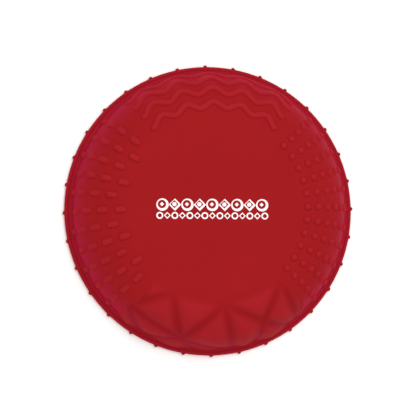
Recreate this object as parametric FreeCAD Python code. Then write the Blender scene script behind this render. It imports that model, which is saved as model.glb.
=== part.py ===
# A soft flying disc moulded in silicone: a flat round plate, a shoulder that turns down all round,
# an outward lip with grip nubs, and a different relief on each quarter of the shoulder.
# Millimetres and degrees. The disc lies open side down. The origin is on its axis at the lip's
# underside, +Z is up, and +Y is the middle of the quarter with the wavy ribs.
import FreeCAD, Part
import math
import os
from FreeCAD import Vector

# The disc
disc_diameter = 152.0       # over the lip, without its nubs
disc_height = 30.5          # lip's underside to the plate's top
plate_radius = 43.7         # flat centre, out to where the shoulder starts to turn
wall = 2.4                  # plate and shoulder
side_wall_start = 23.0      # along the shoulder, where its bend is taken as side wall
lip_width = 3.8             # how far the lip stands out from the shoulder's foot
lip_height = 3.0

# Nubs on the lip's edge
rim_nub_count = 32
rim_nub_radius = 1.1
rim_nub_stand = 0.85        # how far each nub stands out from the lip

# Pattern quarters: each relief is centred on its quarter
columns = 11                # in the quarters with nubs
column_pitch = 360.0 / 44
relief_clearance = 0.1      # kept between the lowest relief and the lip
relief_height = 1.1         # how far nubs stand proud of the shoulder

# Round nubs, in straight rows
dot_middle = 0.0            # the quarter's middle, degrees from +X
dot_diameter = 3.1          # where the nub meets the shoulder
dot_first_row = 4.9         # along the shoulder from the plate's edge
dot_row_pitch = 6.0

# Oblong nubs, in rows set over by half a pitch from column to column
oblong_middle = 180.0
oblong_length = 5.9
oblong_width = 3.0
oblong_first_row = 5.7
oblong_row_pitch = 9.9

# Wavy ribs
wave_middle = 89.4
wave_count = 5              # crests on each rib
wave_period = 14.87
wave_first_rib = 10.4       # middle of the first rib, along the shoulder
wave_rib_pitch = 8.75
wave_swing = 1.7            # of the first rib, each way
wave_swing_growth = 0.5     # more for each rib further out
wave_rib_width = 2.6
wave_rib_stand = 1.0
wave_end_size = 0.45        # of the rib's section at its two ends
wave_steps = 8              # sections in each wave

# Star folds: pyramids with three sides, between creases that lie on the shoulder
fold_stand = 2.0            # tallest peak
fold_slope = 13.0           # rise from a crease, against the tangent there
fold_edge = 44.6            # half the quarter that the folds fill
fold_start = 2.5            # nearest the plate, along the shoulder
crease_floor = 0.2          # left under a crease
border_sink = 0.3           # how far the border's cuts reach below the shoulder's surface
smallest_fold = 1.0         # cubic millimetres, less is a sliver that the cuts leave
fold_middle = 270.0

# Printed ornament on the plate: two rows of plain shapes
print_length = 58.5
print_thickness = 0.2
print_middle = (-1.6, -0.6)
upper_row_height = 6.4
upper_motifs = 9
upper_line = 0.6
upper_shadow = 0.8          # more line on the lower right side
upper_core = 0.34           # of the motif's size, the small shape inside it
lower_row_height = 3.6
lower_motifs = 15
lower_line = 0.7
row_gap = 0.6
print_turn = -1.2

# The shoulder is one arc: tangent to the plate, ending at its foot on the lip's top
disc_radius = disc_diameter / 2
foot_radius = disc_radius - lip_width
shoulder_run = foot_radius - plate_radius
shoulder_rise = disc_height - lip_height
shoulder_radius = (shoulder_run**2 + shoulder_rise**2) / (2 * shoulder_rise)
shoulder_turn = 2 * math.atan2(shoulder_rise, shoulder_run)
shoulder_arc = shoulder_radius * shoulder_turn
arc_height = disc_height - shoulder_radius      # height of the arc's centre
inner_turn = math.acos((lip_height - arc_height) / (shoulder_radius - wall))
side_wall_turn = side_wall_start / shoulder_radius
inner_foot_radius = plate_radius + (shoulder_radius - wall) * math.sin(inner_turn)

up = Vector(0, 0, 1)
axis_start = Vector(0, 0, 0)
seam_angle = 48.5           # turned faces close here, clear of every nub and rib


def on_shoulder(along, angle, lift=0.0):
    """A point at a distance along the shoulder from the plate's edge, lifted off its surface."""
    turn = along / shoulder_radius
    radius = plate_radius + (shoulder_radius + lift) * math.sin(turn)
    height = arc_height + (shoulder_radius + lift) * math.cos(turn)
    a = math.radians(angle)
    return Vector(radius * math.cos(a), radius * math.sin(a), height)


def section_point(offset, turn):
    """A point in the XZ plane on the shoulder's arc, or on one offset outwards from it."""
    reach = shoulder_radius + offset
    return Vector(plate_radius + reach * math.sin(turn), 0, arc_height + reach * math.cos(turn))


def section_arc(offset, start, end):
    points = [section_point(offset, start), section_point(offset, (start + end) / 2),
              section_point(offset, end)]
    return Part.Arc(*points).toShape()


def revolved(edges, first_angle=seam_angle, sweep=360.0):
    face = Part.Face(Part.Wire(edges))
    face.rotate(axis_start, up, first_angle)
    return face.revolve(axis_start, up, sweep)


def shoulder_band(inner, outer, start, end, inner_end, first_angle=seam_angle, sweep=360.0):
    """A band of revolution between two offsets of the shoulder's arc, from one turn to another."""
    edges = [section_arc(outer, start, end),
             Part.makeLine(section_point(outer, end), section_point(inner, inner_end)),
             section_arc(inner, inner_end, start),
             Part.makeLine(section_point(inner, start), section_point(outer, start))]
    return revolved(edges, first_angle, sweep)


def save(shape, name):
    shape.exportStep("parts/" + name + ".step")
    print(name, len(shape.Solids), "solids", round(shape.Volume / 1000, 2), "cm3", shape.isValid())


def flight_plate():
    return Part.makeCylinder(plate_radius, wall, Vector(0, 0, disc_height - wall))


def rim_lip():
    round_edge = lip_height / 2
    straight_end = disc_radius - round_edge
    corners = [Vector(inner_foot_radius, 0, 0), Vector(straight_end, 0, 0),
               Vector(disc_radius, 0, round_edge), Vector(straight_end, 0, lip_height),
               Vector(inner_foot_radius, 0, lip_height)]
    edges = [Part.makeLine(corners[0], corners[1]),
             Part.Arc(corners[1], corners[2], corners[3]).toShape(),
             Part.makeLine(corners[3], corners[4]),
             Part.makeLine(corners[4], corners[0])]
    return revolved(edges)


def turned_copies(column, angles):
    """The column built at angle 0, turned to each angle."""
    copies = []
    for angle in angles:
        for nub in column:
            copy = nub.copy()
            copy.rotate(axis_start, up, angle)
            copies.append(copy)
    return copies


def rim_nubs(lip):
    """Parts of balls that stand out of the lip's rounded edge."""
    centre = Vector(disc_radius + rim_nub_stand - rim_nub_radius, 0, lip_height / 2)
    nub = Part.makeSphere(rim_nub_radius, centre, Vector(1, 0, 0)).cut(lip)
    return Part.makeCompound(turned_copies([nub], [i * 360.0 / rim_nub_count
                                                   for i in range(rim_nub_count)]))


def rows_from(first, pitch, half_size):
    """Row places along the shoulder, as many as end above the lip."""
    last = shoulder_arc - half_size - relief_clearance
    return [first + i * pitch for i in range(int((last - first) / pitch) + 1)]


def column_angles(middle):
    return [middle + (i - (columns - 1) / 2) * column_pitch for i in range(columns)]


def dot(row):
    """The part of a ball that stands out of the shoulder."""
    ball_radius = ((dot_diameter / 2)**2 + relief_height**2) / (2 * relief_height)
    centre = on_shoulder(row, 0, relief_height - ball_radius)
    outward = on_shoulder(row, 0) - centre
    return Part.makeSphere(ball_radius, centre, outward).toNurbs()


def dot_nubs(shoulder):
    rows = rows_from(dot_first_row, dot_row_pitch, dot_diameter / 2)
    column = [dot(row).cut(shoulder) for row in rows]
    return Part.makeCompound(turned_copies(column, column_angles(dot_middle)))


def oblong(row):
    """A bar with round ends that lies down the slope, turned about its own axis."""
    end_radius = ((oblong_width / 2)**2 + relief_height**2) / (2 * relief_height)
    half_run = (oblong_length - oblong_width) / 2
    sink = relief_height - end_radius
    ends = [on_shoulder(row - half_run, 0, sink), on_shoulder(row + half_run, 0, sink)]
    along = (ends[1] - ends[0]).normalize()
    inward = (on_shoulder(row, 0, sink - 1) - on_shoulder(row, 0, sink)).normalize()
    half = end_radius / math.sqrt(2)
    tips = [ends[0] - along * end_radius, ends[1] + along * end_radius]
    sides = [ends[0] + inward * end_radius, ends[1] + inward * end_radius]
    edges = [Part.Arc(tips[0], ends[0] + (inward - along) * half, sides[0]).toShape(),
             Part.makeLine(sides[0], sides[1]),
             Part.Arc(sides[1], ends[1] + (inward + along) * half, tips[1]).toShape(),
             Part.makeLine(tips[1], tips[0])]
    return Part.Face(Part.Wire(edges)).revolve(ends[0], along, 360)


def oblong_nubs(shoulder):
    angles = column_angles(oblong_middle)
    near_rows = rows_from(oblong_first_row, oblong_row_pitch, oblong_length / 2)
    far_rows = rows_from(oblong_first_row + oblong_row_pitch / 2, oblong_row_pitch, oblong_length / 2)
    near_column = [oblong(row).cut(shoulder) for row in near_rows]
    far_column = [oblong(row).cut(shoulder) for row in far_rows]
    return Part.makeCompound(turned_copies(far_column, angles[0::2])
                             + turned_copies(near_column, angles[1::2]))


def wave_rib(middle_row, swing):
    """A low round-backed rib along a wave that starts and ends in a trough."""
    span = wave_count * wave_period
    steps = wave_count * wave_steps
    lift = wave_rib_width**2 / 8 / shoulder_radius      # its flat base touches the curved shoulder

    def station(i):
        along = middle_row - swing * math.cos(2 * math.pi * i / wave_steps)
        return along, wave_middle - span / 2 + span * i / steps

    sections = []
    for i in range(steps + 1):
        along, angle = station(i)
        here = on_shoulder(along, angle, lift)
        outward = (on_shoulder(along, angle, lift + 1) - here).normalize()
        onward = on_shoulder(*station(i + 0.1), lift) - on_shoulder(*station(i - 0.1), lift)
        size = wave_end_size if i in (0, steps) else 1.0
        side = onward.cross(outward).normalize() * (wave_rib_width / 2 * size)
        top = here + outward * (wave_rib_stand * size)
        sections.append(Part.Wire([Part.Arc(here - side, top, here + side).toShape(),
                                   Part.makeLine(here + side, here - side)]))
    return Part.makeLoft(sections, True, False)


def wave_ribs():
    ribs = []
    middle_row = wave_first_rib
    swing = wave_swing
    while middle_row + swing + wave_rib_width / 2 + relief_clearance < shoulder_arc:
        ribs.append(wave_rib(middle_row, swing))
        middle_row += wave_rib_pitch
        swing += wave_swing_growth
    return Part.makeCompound(ribs)


# Corners of the folds: distance along the shoulder, and angle from the quarter's middle
foot = shoulder_arc
fold_corners = {
    "a": (6.2, -43.3), "b": (5.5, -27.6), "c": (6.4, 4.3), "d": (6.9, 41.0),
    "e": (18.9, -39.9), "f": (25.5, -42.2), "g": (30.0, -15.0), "h": (21.9, 23.0),
    "i": (26.0, 44.0), "j": (foot, -30.0), "k": (foot, -6.0), "l": (foot, 9.0),
    "m": (foot, 17.0), "n": (foot, 36.6), "o": (foot, -43.5), "p": (foot, 43.5),
}
# creases inside the pattern, each between two corners
fold_creases = ["be", "bg", "fg", "gc", "cl", "gl", "ch", "hm", "hd", "hn", "dn", "in",
                "fj", "jg", "gk"]
# creases round it, which leave the shoulder smooth beyond them
fold_border = ["of", "fe", "ea", "ab", "bc", "cd", "di", "ip"]
border_overrun = 3.0        # past each corner, so that no sliver stands there


def nearest_on_shoulder(point, lift):
    """The place straight above a point inside the shoulder, lifted off its surface."""
    flat = Vector(point.x, point.y, 0).normalize()
    arc_centre = flat * plate_radius + up * arc_height
    return arc_centre + (point - arc_centre).normalize() * (shoulder_radius + lift)


def crease_cutter(pair, is_border):
    """A wide V turned along the shortest way over the shoulder between two corners."""
    lift = -border_sink if is_border else crease_floor
    start, end = [on_shoulder(along, fold_middle + angle, lift)
                  for along, angle in (fold_corners[name] for name in pair)]
    middle = nearest_on_shoulder((start + end) / 2, lift)
    circle = Part.Arc(start, middle, end).toShape().Curve
    axis = (start - circle.Center).cross(end - circle.Center).normalize()
    outward = (start - circle.Center).normalize()
    turn = math.degrees((start - circle.Center).getAngle(end - circle.Center))
    depth = 2 * fold_stand
    half_width = depth / math.tan(math.radians(fold_slope))
    top = start + outward * depth
    corners = [start, top - axis * half_width, top + axis * half_width]
    overrun = 0.0
    if is_border:
        below = start - outward * depth
        corners += [below + axis * half_width, below]
        overrun = math.degrees(border_overrun / circle.Radius)
    face = Part.Face(Part.makePolygon(corners + [corners[0]]))
    face.rotate(circle.Center, axis, -overrun)
    return face.revolve(circle.Center, axis, turn + 2 * overrun)


def star_folds():
    over_lip = lip_height + relief_clearance - arc_height
    end_turn = min(math.acos(over_lip / (shoulder_radius + lift)) for lift in (0, fold_stand))
    folds = shoulder_band(0, fold_stand, fold_start / shoulder_radius, end_turn, end_turn,
                          fold_middle - fold_edge, 2 * fold_edge)
    for pair in fold_creases:
        folds = folds.cut(crease_cutter(pair, False))
    for pair in fold_border:
        folds = folds.cut(crease_cutter(pair, True))
    return Part.makeCompound([fold for fold in folds.Solids if fold.Volume > smallest_fold])


def plain_shape(kind, size):
    """A flat face of a disc or a diamond, with its middle at the origin."""
    if kind == "disc":
        return Part.Face(Part.Wire(Part.makeCircle(size)))
    corners = [Vector(size, 0), Vector(0, size), Vector(-size, 0), Vector(0, -size)]
    return Part.Face(Part.makePolygon(corners + [corners[0]]))


def printed(face):
    """Ink with the row's thickness, lying on the plate."""
    ink = face.extrude(Vector(0, 0, print_thickness))
    ink.rotate(axis_start, up, print_turn)
    ink.translate(Vector(print_middle[0], print_middle[1], disc_height))
    return ink


def outlined(kind, size, line, shadow, place):
    """A shape in outline, with a heavier line on its lower right."""
    face = plain_shape(kind, size)
    hollow = plain_shape(kind, size - line - shadow / 2)
    hollow.translate(Vector(-shadow / 3, shadow / 3, 0))
    band = face.cut(hollow)
    band.translate(place)
    return band


def upper_print():
    both_rows = upper_row_height + row_gap + lower_row_height
    row_middle = both_rows / 2 - upper_row_height / 2
    size = upper_row_height / 2
    pitch = (print_length - upper_row_height) / (upper_motifs - 1)
    pieces = []
    for i in range(upper_motifs):
        place = Vector(-print_length / 2 + size + i * pitch, row_middle, 0)
        kind, core_kind = [("disc", "diamond"), ("diamond", "disc")][i % 2]
        pieces.append(printed(outlined(kind, size, upper_line, upper_shadow, place)))
        core = plain_shape(core_kind, size * upper_core)
        core.translate(place + Vector(-upper_shadow / 3, upper_shadow / 3, 0))
        pieces.append(printed(core))
    return Part.makeCompound(pieces)


def lower_print():
    both_rows = upper_row_height + row_gap + lower_row_height
    row_middle = -both_rows / 2 + lower_row_height / 2
    size = lower_row_height / 2
    pitch = (print_length - lower_row_height) / (lower_motifs - 1)
    pieces = []
    for i in range(lower_motifs):
        place = Vector(-print_length / 2 + size + i * pitch, row_middle, 0)
        kind = ["disc", "diamond"][i % 2]
        pieces.append(printed(outlined(kind, size, lower_line, 0.0, place)))
    return Part.makeCompound(pieces)


os.makedirs("parts", exist_ok=True)
plate = flight_plate()
shoulder = shoulder_band(-wall, 0, 0, shoulder_turn, inner_turn)
lip = rim_lip()
save(plate, "flight_plate")
save(shoulder_band(-wall, 0, 0, side_wall_turn, side_wall_turn), "upper_shoulder")
save(shoulder_band(-wall, 0, side_wall_turn, shoulder_turn, inner_turn), "side_wall")
save(lip, "rim_lip")
save(rim_nubs(lip), "rim_nubs")
save(dot_nubs(shoulder), "dot_nubs")
save(oblong_nubs(shoulder), "oblong_nubs")
save(wave_ribs(), "wave_ribs")
save(star_folds(), "star_folds")
save(upper_print(), "print_row_upper")
save(lower_print(), "print_row_lower")
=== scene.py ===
import math
import bmesh
import bpy
from mathutils import Matrix, Vector


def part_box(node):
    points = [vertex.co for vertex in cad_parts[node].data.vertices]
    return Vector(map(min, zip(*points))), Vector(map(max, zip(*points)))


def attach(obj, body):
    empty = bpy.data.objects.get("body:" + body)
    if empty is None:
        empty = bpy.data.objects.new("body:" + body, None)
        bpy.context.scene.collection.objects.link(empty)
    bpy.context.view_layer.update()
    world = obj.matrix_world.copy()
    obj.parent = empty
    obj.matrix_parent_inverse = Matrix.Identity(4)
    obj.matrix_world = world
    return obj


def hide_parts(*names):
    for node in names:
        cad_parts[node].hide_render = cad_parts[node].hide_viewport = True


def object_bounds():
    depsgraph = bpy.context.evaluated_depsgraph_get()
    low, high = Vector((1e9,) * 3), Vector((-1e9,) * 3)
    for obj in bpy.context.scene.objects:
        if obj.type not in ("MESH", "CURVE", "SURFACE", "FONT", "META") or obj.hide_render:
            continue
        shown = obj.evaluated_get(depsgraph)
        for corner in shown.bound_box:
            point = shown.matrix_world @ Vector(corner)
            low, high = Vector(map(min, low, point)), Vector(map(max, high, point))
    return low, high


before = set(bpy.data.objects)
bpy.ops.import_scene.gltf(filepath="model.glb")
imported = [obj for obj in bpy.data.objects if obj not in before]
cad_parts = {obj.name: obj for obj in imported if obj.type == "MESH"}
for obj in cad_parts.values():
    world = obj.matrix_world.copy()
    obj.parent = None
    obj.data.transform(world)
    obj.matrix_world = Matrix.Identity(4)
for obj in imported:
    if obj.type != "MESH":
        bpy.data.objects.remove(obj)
cadLow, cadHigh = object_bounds()
mm = 0.001
weld = 0.001 * mm       # points closer than this are one
near = 0.02 * mm        # close enough to be on a ring
print("frame loaded:", len(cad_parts), "nodes")

# the disc's own sizes, all from the frame
plateLow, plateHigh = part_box("flight_plate")
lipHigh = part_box("rim_lip")[1]
plateRadius = plateHigh.x
plateTop = plateHigh.z
wall = plateHigh.z - plateLow.z
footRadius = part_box("side_wall")[1].x
lipRadius = lipHigh.x
lipHeight = lipHigh.z
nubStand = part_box("rim_nubs")[1].x - lipRadius

# the shoulder is one arc, tangent to the plate, down to its foot on the lip
run = footRadius - plateRadius
rise = plateTop - lipHeight
bend = (run**2 + rise**2) / (2 * rise)      # its radius
bendTurn = 2 * math.atan2(rise, run)
bendLength = bend * bendTurn
bendHeight = plateTop - bend                # height of its centre
innerTurn = math.acos((lipHeight - bendHeight) / (bend - wall))
innerFoot = plateRadius + (bend - wall) * math.sin(innerTurn)
lipRound = lipHeight / 2


# helpers that every piece uses
def faceOutwards(bm):
    bmesh.ops.recalc_face_normals(bm, faces=bm.faces[:])
    if bm.calc_volume(signed=True) < 0:     # a shallow shape can come out wholly turned in
        bmesh.ops.reverse_faces(bm, faces=bm.faces[:])


def finishPiece(bm, name, bodyNodes, material):
    for face in bm.faces:
        face.smooth = True
    mesh = bpy.data.meshes.new(name)
    bm.to_mesh(mesh)
    bm.free()
    piece = bpy.data.objects.new(name, mesh)
    bpy.context.scene.collection.objects.link(piece)
    mesh.materials.append(material)
    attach(piece, "root")
    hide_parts(*bodyNodes)
    print(name, "done:", len(mesh.polygons), "faces")


def lineTo(bm, vert, x, z, steps=1):
    start = vert.co.copy()
    end = Vector((x, 0, z))
    for i in range(steps):
        vert = bmesh.ops.extrude_vert_indiv(bm, verts=[vert])["verts"][0]
        vert.co = start.lerp(end, (i + 1) / steps)
    return vert


def arcTo(bm, vert, x, z, turn, steps):
    made = bmesh.ops.spin(bm, geom=[vert], cent=(x, 0, z), axis=(0, 1, 0), angle=turn, steps=steps)
    return [part for part in made["geom_last"] if isinstance(part, bmesh.types.BMVert)][0]


def ringEdges(bm, radius, height):      # the edges of one ring of a turned shape
    def onRing(vert):
        return (abs(math.hypot(vert.co.x, vert.co.y) - radius) < near
                and abs(vert.co.z - height) < near)
    return [edge for edge in bm.edges if onRing(edge.verts[0]) and onRing(edge.verts[1])]


def softHeight(u, reach, stand, fullness):      # a moulded bump: full on top, with a soft skirt
    if u >= reach:
        return 0.0
    return stand * 0.5 * (1 + math.cos(math.pi * (u / reach)**fullness))


def onShoulder(along, angle, lift):     # the place so far down from the plate's edge, and so far off
    turn = along / bend
    reach = plateRadius + (bend + lift) * math.sin(turn)
    return Vector((reach * math.cos(angle), reach * math.sin(angle),
                   bendHeight + (bend + lift) * math.cos(turn)))


def shoulderRadiusAt(along):
    return plateRadius + bend * math.sin(along / bend)


def liftLayer(bm):      # how far each point of a relief stands proud, for the material's painted highlight on the tops
    return bm.verts.layers.float.get("lift") or bm.verts.layers.float.new("lift")


def stamp(bm, nub, place):      # adds the flat nub's mesh, with each point put in place
    lift = liftLayer(bm)
    first = len(bm.verts)
    bm.from_mesh(nub)
    bm.verts.ensure_lookup_table()
    for vert in bm.verts[first:]:
        vert[lift] = vert.co.z
        vert.co = place(vert.co)


# materials
def srgb(code):      # a hex colour to the linear colour that the shader takes
    parts = [int(code[i:i + 2], 16) / 255 for i in (1, 3, 5)]
    return [p / 12.92 if p <= 0.04045 else ((p + 0.055) / 1.055)**2.4 for p in parts] + [1.0]


def addNode(tree, kind, settings, links=None):
    node = tree.nodes.new(kind)
    for name, value in settings.items():
        if isinstance(name, str) and hasattr(node, name):
            setattr(node, name, value)
        else:
            node.inputs[name].default_value = value
    for name, source in (links or {}).items():
        tree.links.new(source, node.inputs[name])
    return node


def newMaterial(name):
    material = bpy.data.materials.new(name)
    material.use_nodes = True
    material.node_tree.nodes.clear()
    return material, material.node_tree


siliconeLook = {
    "colour": "#94171a", "deepColour": "#91161a",
    "topHighlightColour": "#9a1b22",     # painted highlight: the relief's tops painted lighter, for light on them and shade at their feet
    "topHighlightLift": (0.15 * mm, 1.0 * mm),
    "creaseShadeColour": "#780d13", "creaseShadeAmount": 0.4,     # painted shade: the folds' valleys painted darker
    "rimSheenColour": "#a61033",     # painted cool sheen and painted light low on the wall, fading out on the lip
    "sheenHeights": (25 * mm, 8 * mm), "sheenAmount": 0.75,
    "sheenLipHeights": (6 * mm, 2.5 * mm), "sheenLipAmount": 0.3,
    "mottle": 26 * mm,          # size of the soft colour patches
    "grain": 0.9 * mm,          # the mould's matt grain is about 0.1 mm: drawn this coarse to show
    "grainDepth": 0.02 * mm,
    "smear": 7 * mm,            # patches that feel smoother or drier
    "roughness": (0.50, 0.62),
    "specular": 0.03,
}


def mouldedSilicone():
    # Silicone rubber, pressed in a bead-blasted steel mould: one even red all through, a soft satin
    # face with no hard glints, a painted highlight on raised tops, painted shade in the folds' valleys,
    # and a painted cool sheen with painted light low on the wall.
    look = siliconeLook
    material, tree = newMaterial("Moulded silicone rubber")
    place = addNode(tree, "ShaderNodeTexCoord", {}).outputs["Object"]
    patches = addNode(tree, "ShaderNodeTexNoise", {"Scale": 1 / look["mottle"], "Detail": 3.0,
                                                   "Roughness": 0.55}, {"Vector": place})
    spread = addNode(tree, "ShaderNodeMapRange", {"From Min": 0.35, "From Max": 0.65},
                     {"Value": patches.outputs["Fac"]})
    gum = addNode(tree, "ShaderNodeMix", {"data_type": "RGBA", 6: srgb(look["deepColour"]),
                                          7: srgb(look["colour"])},
                  {0: spread.outputs["Result"]})
    height = addNode(tree, "ShaderNodeSeparateXYZ", {}, {0: place}).outputs["Z"]
    # painted cool sheen and painted light: the wall painted bluer and lighter low down, less so on the
    # lip
    low = addNode(tree, "ShaderNodeMapRange", {"interpolation_type": "SMOOTHSTEP",
                                               "From Min": look["sheenHeights"][0],
                                               "From Max": look["sheenHeights"][1],
                                               "To Max": look["sheenAmount"]}, {"Value": height})
    sheenOffLip = addNode(tree, "ShaderNodeMapRange", {"interpolation_type": "SMOOTHSTEP",
                                                  "From Min": look["sheenLipHeights"][0],
                                                  "From Max": look["sheenLipHeights"][1],
                                                  "To Min": 1.0, "To Max": look["sheenLipAmount"]},
                     {"Value": height})
    paintedSheen = addNode(tree, "ShaderNodeMath", {"operation": "MULTIPLY"},
                    {0: low.outputs["Result"], 1: sheenOffLip.outputs["Result"]})
    sheened = addNode(tree, "ShaderNodeMix", {"data_type": "RGBA", 7: srgb(look["rimSheenColour"])},
                      {0: paintedSheen.outputs["Value"], 6: gum.outputs[2]})
    # painted highlight: the higher a relief point stands, the lighter it is painted
    proud = addNode(tree, "ShaderNodeAttribute", {"attribute_name": "lift"})
    top = addNode(tree, "ShaderNodeMapRange", {"interpolation_type": "SMOOTHSTEP",
                                               "From Min": look["topHighlightLift"][0],
                                               "From Max": look["topHighlightLift"][1]},
                  {"Value": proud.outputs["Fac"]})
    highlighted = addNode(tree, "ShaderNodeMix", {"data_type": "RGBA", 7: srgb(look["topHighlightColour"])},
                     {0: top.outputs["Result"], 6: sheened.outputs[2]})
    # painted shade: the folds' valleys painted darker
    valleyShade = addNode(tree, "ShaderNodeAttribute", {"attribute_name": "valleyShade"})
    creaseShade = addNode(tree, "ShaderNodeMath", {"operation": "MULTIPLY", 1: look["creaseShadeAmount"]},
                    {0: valleyShade.outputs["Fac"]})
    colour = addNode(tree, "ShaderNodeMix", {"data_type": "RGBA", 7: srgb(look["creaseShadeColour"])},
                     {0: creaseShade.outputs["Value"], 6: highlighted.outputs[2]})
    smears = addNode(tree, "ShaderNodeTexNoise", {"Scale": 1 / look["smear"], "Detail": 4.0},
                     {"Vector": place})
    satin = addNode(tree, "ShaderNodeMapRange", {"From Min": 0.3, "From Max": 0.7,
                                                 "To Min": look["roughness"][0],
                                                 "To Max": look["roughness"][1]},
                    {"Value": smears.outputs["Fac"]})
    grain = addNode(tree, "ShaderNodeTexNoise", {"Scale": 1 / look["grain"], "Detail": 2.0},
                    {"Vector": place})
    bump = addNode(tree, "ShaderNodeBump", {"Strength": 1.0, "Distance": look["grainDepth"]},
                   {"Height": grain.outputs["Fac"]})
    shader = addNode(tree, "ShaderNodeBsdfPrincipled",
                     {"IOR": 1.41, "Specular IOR Level": look["specular"]},
                     {"Base Color": colour.outputs[2], "Roughness": satin.outputs["Result"],
                      "Normal": bump.outputs["Normal"]})
    addNode(tree, "ShaderNodeOutputMaterial", {}, {"Surface": shader.outputs["BSDF"]})
    return material


inkLook = {
    "colour": "#f6f1f0", "thinColour": "#efdcdb",
    "cloud": 5 * mm,            # patches where the ink went on thinner
    "tooth": 0.5 * mm,          # the pad's print leaves a fine tooth
    "toothDepth": 0.01 * mm,
}


def padPrintInk():
    # Silicone ink, put on with a soft pad and baked: chalky white, quite matt, a little thin in places.
    look = inkLook
    material, tree = newMaterial("Pad printed silicone ink")
    place = addNode(tree, "ShaderNodeTexCoord", {}).outputs["Object"]
    cloud = addNode(tree, "ShaderNodeTexNoise", {"Scale": 1 / look["cloud"], "Detail": 5.0},
                    {"Vector": place})
    thin = addNode(tree, "ShaderNodeMapRange", {"From Min": 0.3, "From Max": 0.55},
                   {"Value": cloud.outputs["Fac"]})
    colour = addNode(tree, "ShaderNodeMix", {"data_type": "RGBA", 6: srgb(look["thinColour"]),
                                             7: srgb(look["colour"])},
                     {0: thin.outputs["Result"]})
    tooth = addNode(tree, "ShaderNodeTexNoise", {"Scale": 1 / look["tooth"], "Detail": 2.0},
                    {"Vector": place})
    matt = addNode(tree, "ShaderNodeMapRange", {"To Min": 0.52, "To Max": 0.66},
                   {"Value": tooth.outputs["Fac"]})
    bump = addNode(tree, "ShaderNodeBump", {"Strength": 1.0, "Distance": look["toothDepth"]},
                   {"Height": tooth.outputs["Fac"]})
    shader = addNode(tree, "ShaderNodeBsdfPrincipled", {"IOR": 1.45},
                     {"Base Color": colour.outputs[2], "Roughness": matt.outputs["Result"],
                      "Normal": bump.outputs["Normal"]})
    addNode(tree, "ShaderNodeOutputMaterial", {}, {"Surface": shader.outputs["BSDF"]})
    return material


silicone = mouldedSilicone()
ink = padPrintInk()
print("materials done")


# the disc itself: plate, shoulder and lip in one skin
bodySizes = {
    "around": 256,
    "plateRings": 10, "shoulderSteps": 44, "edgeSteps": 12, "lipSteps": 3,
    "footFillet": 2.2 * mm,     # where the shoulder meets the lip
    "innerRound": 0.5 * mm,     # the opening's own edge
    "roundSteps": 4,            # in each of these two
}


def makeDiscBody():
    size = bodySizes
    bm = bmesh.new()
    tip = bm.verts.new((0, 0, plateTop))
    tip = lineTo(bm, tip, plateRadius, plateTop, size["plateRings"])
    tip = arcTo(bm, tip, plateRadius, bendHeight, bendTurn, size["shoulderSteps"])
    tip = lineTo(bm, tip, lipRadius - lipRound, lipHeight, size["lipSteps"])
    tip = arcTo(bm, tip, lipRadius - lipRound, lipRound, math.pi, size["edgeSteps"])
    tip = lineTo(bm, tip, innerFoot, 0, size["lipSteps"])
    tip = lineTo(bm, tip, innerFoot, lipHeight, size["lipSteps"])
    tip = arcTo(bm, tip, plateRadius, bendHeight, -innerTurn, size["shoulderSteps"])
    lineTo(bm, tip, 0, plateTop - wall, size["plateRings"])
    bmesh.ops.spin(bm, geom=bm.verts[:] + bm.edges[:], cent=(0, 0, 0), axis=(0, 0, 1),
                   angle=2 * math.pi, steps=size["around"], use_merge=True)
    bmesh.ops.remove_doubles(bm, verts=bm.verts[:], dist=weld)
    rounds = [(footRadius, lipHeight, size["footFillet"]), (innerFoot, 0, size["innerRound"])]
    for radius, height, offset in rounds:
        bmesh.ops.bevel(bm, geom=ringEdges(bm, radius, height), offset=offset,
                        segments=size["roundSteps"], profile=0.5, affect="EDGES", material=-1)
    faceOutwards(bm)
    finishPiece(bm, "disc_body", ["flight_plate", "upper_shoulder", "side_wall", "rim_lip"],
                silicone)


makeDiscBody()


# nubs: one soft bump, made flat and stamped many times
def flatNub(width, length, size):      # x runs down the shoulder, y runs round it
    reach = width / 2 + size["skirt"]
    halfRun = (length - width) / 2
    bm = bmesh.new()
    tip = bm.verts.new((0, 0, size["stand"]))
    for i in range(1, size["rings"] + 1):
        u = reach * i / size["rings"]
        tip = lineTo(bm, tip, u, softHeight(u, reach, size["stand"], size["fullness"]))
    tip = lineTo(bm, tip, reach, -size["sink"])
    lineTo(bm, tip, 0, -size["sink"])
    bmesh.ops.spin(bm, geom=bm.verts[:] + bm.edges[:], cent=(0, 0, 0), axis=(0, 0, 1),
                   angle=2 * math.pi, steps=size["around"], use_merge=True)
    bmesh.ops.remove_doubles(bm, verts=bm.verts[:], dist=weld)
    for vert in bm.verts:       # a bar is the round bump parted at its middle
        if abs(vert.co.x) > near:
            vert.co.x += math.copysign(halfRun, vert.co.x)
    faceOutwards(bm)
    mesh = bpy.data.meshes.new("flatNub")
    bm.to_mesh(mesh)
    bm.free()
    return mesh


def rowsFrom(first, pitch, halfLength):     # down the shoulder, as many as end above the lip
    rows = []
    while first + halfLength + reliefGap < bendLength:
        rows.append(first)
        first += pitch
    return rows


reliefGap = 0.1 * mm        # kept between the lowest relief and the lip
columns = 11                # in each quarter with nubs
columnPitch = math.radians(360 / (4 * columns))


def columnAngle(middle, i):
    return math.radians(middle) + (i - (columns - 1) / 2) * columnPitch


dotSizes = {
    "middle": 0,                # degrees from +X
    "width": 3.1 * mm, "firstRow": 4.9 * mm, "rowPitch": 6.0 * mm,
    "stand": 1.1 * mm, "skirt": 0.7 * mm, "fullness": 1.9, "sink": 0.4 * mm,
    "rings": 7, "around": 20,
}


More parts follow.
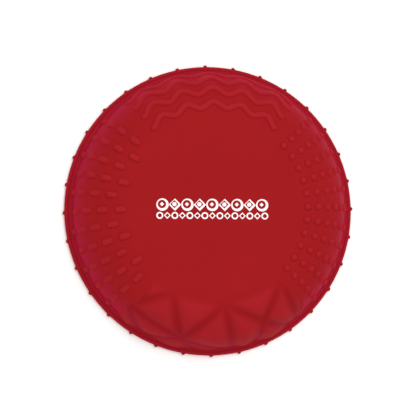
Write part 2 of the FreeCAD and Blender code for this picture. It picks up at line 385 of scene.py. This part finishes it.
def makeDots():
    size = dotSizes
    nub = flatNub(size["width"], size["width"], size)
    bm = bmesh.new()
    for row in rowsFrom(size["firstRow"], size["rowPitch"], size["width"] / 2):
        radius = shoulderRadiusAt(row)
        for i in range(columns):
            angle = columnAngle(size["middle"], i)
            stamp(bm, nub, lambda p: onShoulder(row + p.x, angle + p.y / radius, p.z))
    finishPiece(bm, "soft_dots", ["dot_nubs"], silicone)


barSizes = {
    "middle": 180,
    "width": 3.0 * mm, "length": 5.9 * mm, "firstRow": 5.7 * mm, "rowPitch": 9.9 * mm,
    "stand": 1.03 * mm, "skirt": 0.65 * mm, "fullness": 2.2, "sink": 0.4 * mm,
    "rings": 7, "around": 20,
}


def makeBars():
    size = barSizes
    nub = flatNub(size["width"], size["length"], size)
    bm = bmesh.new()
    for i in range(columns):        # every other column starts half a pitch further down
        angle = columnAngle(size["middle"], i)
        first = size["firstRow"] + (size["rowPitch"] / 2 if i % 2 == 0 else 0)
        for row in rowsFrom(first, size["rowPitch"], size["length"] / 2):
            radius = shoulderRadiusAt(row)
            stamp(bm, nub, lambda p: onShoulder(row + p.x, angle + p.y / radius, p.z))
    finishPiece(bm, "soft_bars", ["oblong_nubs"], silicone)


gripSizes = {
    "count": 32, "width": 1.9 * mm, "skirt": 0.25 * mm, "fullness": 2.0, "sink": 0.4 * mm,
    "rings": 6, "around": 16, "stand": nubStand,
}


def onLip(p, angle):        # x runs up round the lip's edge, y back along it, so no nub is mirrored
    turn = p.x / lipRound
    reach = lipRadius - lipRound + (lipRound + p.z) * math.cos(turn)
    around = angle - p.y / lipRadius
    return Vector((reach * math.cos(around), reach * math.sin(around),
                   lipRound + (lipRound + p.z) * math.sin(turn)))


def makeGrips():
    size = gripSizes
    nub = flatNub(size["width"], size["width"], size)
    bm = bmesh.new()
    for i in range(size["count"]):
        angle = 2 * math.pi * i / size["count"]
        stamp(bm, nub, lambda p: onLip(p, angle))
    finishPiece(bm, "grip_nubs", ["rim_nubs"], silicone)


makeDots()
makeBars()
makeGrips()


# relief sheets: a flat grid, raised by a height rule, closed below and laid on the shoulder
def reliefSheet(bm, cellsX, cellsY, heightAt, sink, place, valleyShadeAt=None):
    # heightAt, place and valleyShadeAt all take x and y from 0 to 1 across the sheet
    lift = liftLayer(bm)
    valleyShade = bm.verts.layers.float.new("valleyShade") if valleyShadeAt else None
    made = bmesh.ops.create_grid(bm, x_segments=cellsX, y_segments=cellsY, size=0.5)["verts"]
    for vert in made:
        vert.co += Vector((0.5, 0.5, 0))
        vert.co.z = max(heightAt(vert.co.x, vert.co.y), -sink)
    low = weld - sink
    faces = {face for vert in made for face in vert.link_faces}
    buried = [face for face in faces if all(vert.co.z < low for vert in face.verts)]
    shown = [face for face in faces if any(vert.co.z >= low for vert in face.verts)]
    top = bmesh.ops.extrude_face_region(bm, geom=shown, use_keep_orig=True)["geom"]
    topVerts = {part for part in top if isinstance(part, bmesh.types.BMVert)}
    bottomVerts = {vert for face in shown for vert in face.verts}
    bmesh.ops.delete(bm, geom=buried, context="FACES")
    for vert in bottomVerts:
        vert.co.z = -2 * sink
    for vert in topVerts | bottomVerts:
        vert[lift] = vert.co.z
        if valleyShadeAt:
            vert[valleyShade] = valleyShadeAt(vert.co.x, vert.co.y)
        vert.co = place(vert.co.x, vert.co.y, vert.co.z)


ribSizes = {
    "middle": 89.4, "crests": 5, "period": 14.87,       # degrees
    "firstRib": 10.4 * mm, "ribPitch": 8.75 * mm,
    "swing": 1.7 * mm, "swingGrowth": 0.5 * mm,         # the wave is deeper on each rib further out
    "width": 2.6 * mm, "stand": 1.0 * mm, "skirt": 0.75 * mm, "fullness": 2.0, "sink": 0.3 * mm,
    "cellsAcross": 12, "cellsPerCrest": 26,
    "nudge": 0.001,             # radians, either side of a point to read the wave's slope
}


def makeRibs():
    size = ribSizes
    bm = bmesh.new()
    span = math.radians(size["crests"] * size["period"])
    first = math.radians(size["middle"]) - span / 2
    reach = size["width"] / 2 + size["skirt"]
    nudge = size["nudge"]
    middle = size["firstRib"]
    swing = size["swing"]
    while middle + swing + size["width"] / 2 + reliefGap < bendLength:

        def path(angle):        # the rib's middle line, which ends in a trough each side
            share = min(max((angle - first) / span, 0), 1)
            return middle - swing * math.cos(2 * math.pi * size["crests"] * share)

        radius = shoulderRadiusAt(middle)
        extra = reach / radius          # past each end, for the round end

        def heightAt(x, y):
            across = (x - 0.5) * 2 * reach
            past = max(extra - y * (span + 2 * extra), y * (span + 2 * extra) - span - extra, 0) * radius
            gone = math.hypot(across, past)
            if gone >= reach:
                return -size["sink"]
            return softHeight(gone, reach, size["stand"], size["fullness"])

        def place(x, y, z):
            angle = first - extra + y * (span + 2 * extra)
            slope = (path(angle + nudge) - path(angle - nudge)) / (2 * nudge) / radius
            tilt = math.hypot(1, slope)
            across = (x - 0.5) * 2 * reach
            return onShoulder(path(angle) + across / tilt, angle - across * slope / tilt / radius, z)

        reliefSheet(bm, size["cellsAcross"], size["crests"] * size["cellsPerCrest"],
                    heightAt, size["sink"], place)
        middle += size["ribPitch"]
        swing += size["swingGrowth"]
    faceOutwards(bm)
    finishPiece(bm, "wavy_ribs", ["wave_ribs"], silicone)


makeRibs()


foldSizes = {
    "middle": 270, "edge": 44.6,            # degrees
    "start": 2.5 * mm, "stand": 2.0 * mm, "slope": math.tan(math.radians(13)),
    "creaseFloor": 0.2 * mm, "sink": 0.3 * mm,
    "soft": 0.35 * mm,          # each valley is rounded about this much
    "ridge": 0.12 * mm,         # and each ridge
    "fade": 1.6 * mm,           # the folds run out this far above the lip
    "valleyShadeWidth": 2.6 * mm,    # how far the painted shade of a valley reaches up its sides
    "valleyShadeFull": 20 * mm,      # down the shoulder to here, the valleys' painted shade grows
    "cellsDown": 96, "cellsAround": 190,
}
# the folds' corners: millimetres down the shoulder, and degrees from the quarter's middle
foot = bendLength / mm
foldCorners = {
    "a": (6.2, -43.3), "b": (5.5, -27.6), "c": (6.4, 4.3), "d": (6.9, 41.0),
    "e": (18.9, -39.9), "f": (25.5, -42.2), "g": (30.0, -15.0), "h": (21.9, 23.0),
    "i": (26.0, 44.0), "j": (foot, -30.0), "k": (foot, -6.0), "l": (foot, 9.0),
    "m": (foot, 17.0), "n": (foot, 36.6), "o": (foot, -43.5), "p": (foot, 43.5),
}
foldCreases = ["be", "bg", "fg", "gc", "cl", "gl", "ch", "hm", "hd", "hn", "dn", "in",
               "fj", "jg", "gk"]
foldBorder = ["of", "fe", "ea", "ab", "bc", "cd", "di", "ip"]


def nearestOnShoulder(point):
    flat = Vector((point.x, point.y, 0)).normalized() * plateRadius + Vector((0, 0, bendHeight))
    return flat + (point - flat).normalized() * bend


def creaseLine(pair):       # the short way over the shoulder: its two ends and the plane it lies in
    start, end = [onShoulder(foldCorners[name][0] * mm,
                             math.radians(foldSizes["middle"] + foldCorners[name][1]), 0)
                  for name in pair]
    middle = nearestOnShoulder((start + end) / 2)
    side = (middle - start).cross(end - start).normalized()
    return start, end, side


def creaseDistance(point, line):       # how far off, and which side of its plane
    start, end, side = line
    along = (point - start).dot(end - start) / (end - start).length_squared
    offset = (point - start).dot(side)
    if along < 0:
        return (point - start).length, offset
    if along > 1:
        return (point - end).length, offset
    return abs(offset), offset


def softLeast(values, softness):
    return -softness * math.log(sum(math.exp(-value / softness) for value in values))


def makeFolds():
    size = foldSizes
    creases = [creaseLine(pair) for pair in foldCreases]
    border = [creaseLine(pair) for pair in foldBorder]

    def where(x, y):
        return (size["start"] + x * (bendLength - reliefGap - size["start"]),
                math.radians(size["middle"] + (2 * y - 1) * size["edge"]))

    def heightAt(x, y):
        along, angle = where(x, y)
        point = onShoulder(along, angle, 0)
        soft = size["soft"]
        heights = [size["stand"]]
        for crease in creases:
            away = creaseDistance(point, crease)[0]
            heights.append(size["creaseFloor"]
                           + size["slope"] * (math.sqrt(away**2 + soft**2) - soft))
        away, offset = min((creaseDistance(point, line) for line in border),
                           key=lambda pair: (round(pair[0], 7), -abs(pair[1])))
        heights.append(-math.copysign(away, offset) * size["slope"])
        height = softLeast(heights, size["ridge"])
        left = min((bendLength - reliefGap - along) / size["fade"], 1)
        return height * left * (2 - left) if height > 0 else height

    # painted shade: how dark each point of the folds is painted, by its nearness to a valley
    def valleyShadeAt(x, y):
        along, angle = where(x, y)
        point = onShoulder(along, angle, 0)
        away = min(creaseDistance(point, crease)[0] for crease in creases)
        return math.exp(-(away / size["valleyShadeWidth"])**2) * min(along / size["valleyShadeFull"], 1)

    def place(x, y, z):
        return onShoulder(*where(x, y), z)

    bm = bmesh.new()
    reliefSheet(bm, size["cellsDown"], size["cellsAround"], heightAt, size["sink"], place, valleyShadeAt)
    faceOutwards(bm)
    finishPiece(bm, "folded_star", ["star_folds"], silicone)


makeFolds()


# the print stays as the frame has it
for name in ("print_row_upper", "print_row_lower"):
    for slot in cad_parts[name].material_slots:
        slot.material = ink
print("print done")


# floor, light and camera
studio = {
    "floor": "#fbfbfa", "floorSize": 12.0, "floorGap": 0.02 * mm,
    "world": "#ffffff", "worldStrength": 1.0,
    "keyPlace": (0.35, 0.5, 1.35), "keySize": 0.7, "keyPower": 7.5, "keyColour": "#fffdfb",
}


def makeFloor():
    bm = bmesh.new()
    bmesh.ops.create_grid(bm, x_segments=1, y_segments=1, size=studio["floorSize"] / 2)
    mesh = bpy.data.meshes.new("studio_floor")
    bm.to_mesh(mesh)
    bm.free()
    floor = bpy.data.objects.new("studio_floor", mesh)
    bpy.context.scene.collection.objects.link(floor)
    floor.location.z = cadLow.z - studio["floorGap"]
    # Matt white paint on a table top: plain and pale, and open to a look from below.
    material, tree = newMaterial("White studio table")
    paint = addNode(tree, "ShaderNodeBsdfPrincipled",
                    {"Base Color": srgb(studio["floor"]), "Roughness": 0.9, "Specular IOR Level": 0.1})
    clear = addNode(tree, "ShaderNodeBsdfTransparent", {})
    faceSide = addNode(tree, "ShaderNodeNewGeometry", {})
    both = addNode(tree, "ShaderNodeMixShader", {}, {0: faceSide.outputs["Backfacing"],
                                                     1: paint.outputs["BSDF"],
                                                     2: clear.outputs["BSDF"]})
    addNode(tree, "ShaderNodeOutputMaterial", {}, {"Surface": both.outputs["Shader"]})
    mesh.materials.append(material)
    # the white air below lights the disc in its place, so that the hollow is light from below too
    floor.visible_diffuse = False
    floor.visible_glossy = False
    floor.visible_shadow = False


def makeLights():
    world = bpy.data.worlds.new("studio")
    bpy.context.scene.world = world
    world.use_nodes = True
    world.node_tree.nodes.clear()
    air = addNode(world.node_tree, "ShaderNodeBackground",
                  {"Color": srgb(studio["world"]), "Strength": studio["worldStrength"]})
    addNode(world.node_tree, "ShaderNodeOutputWorld", {}, {"Surface": air.outputs["Background"]})
    key = bpy.data.lights.new("softbox", "AREA")
    key.shape = "SQUARE"
    key.size = studio["keySize"]
    key.energy = studio["keyPower"]
    key.color = srgb(studio["keyColour"])[:3]
    box = bpy.data.objects.new("softbox", key)
    box.location = studio["keyPlace"]
    box.rotation_euler = Vector(studio["keyPlace"]).to_track_quat("Z", "Y").to_euler()
    bpy.context.scene.collection.objects.link(box)


cameraSetup = {
    "tilt": (-7.5, -3.2),       # degrees from straight above, towards -X and -Y
    "roll": 1.22,               # the disc lies turned this much in the picture
    "distance": 2.0, "farEnd": 20.0, "viewWidth": 220.9 * mm,
    "aim": (0.98 * mm, 0.50 * mm),
}


def makeCamera():
    setup = cameraSetup
    lens = bpy.data.cameras.new("camera")
    lens.lens = lens.sensor_width * setup["distance"] / setup["viewWidth"]
    camera = bpy.data.objects.new("camera", lens)
    bpy.context.scene.collection.objects.link(camera)
    back = Vector((math.tan(math.radians(setup["tilt"][0])),
                   math.tan(math.radians(setup["tilt"][1])), 1)).normalized()
    roll = math.radians(setup["roll"])
    right = Vector((math.sin(roll), math.cos(roll), 0)).cross(back).normalized()    # +Y nearly up
    turn = Matrix((right, back.cross(right), back)).transposed()
    aim = Vector((*setup["aim"], lipRound))
    camera.matrix_world = Matrix.Translation(aim + back * setup["distance"]) @ turn.to_4x4()
    lens.clip_end = setup["farEnd"]
    bpy.context.scene.camera = camera


makeFloor()
makeLights()
makeCamera()
bpy.context.scene.view_settings.view_transform = "Standard"
print("studio done")
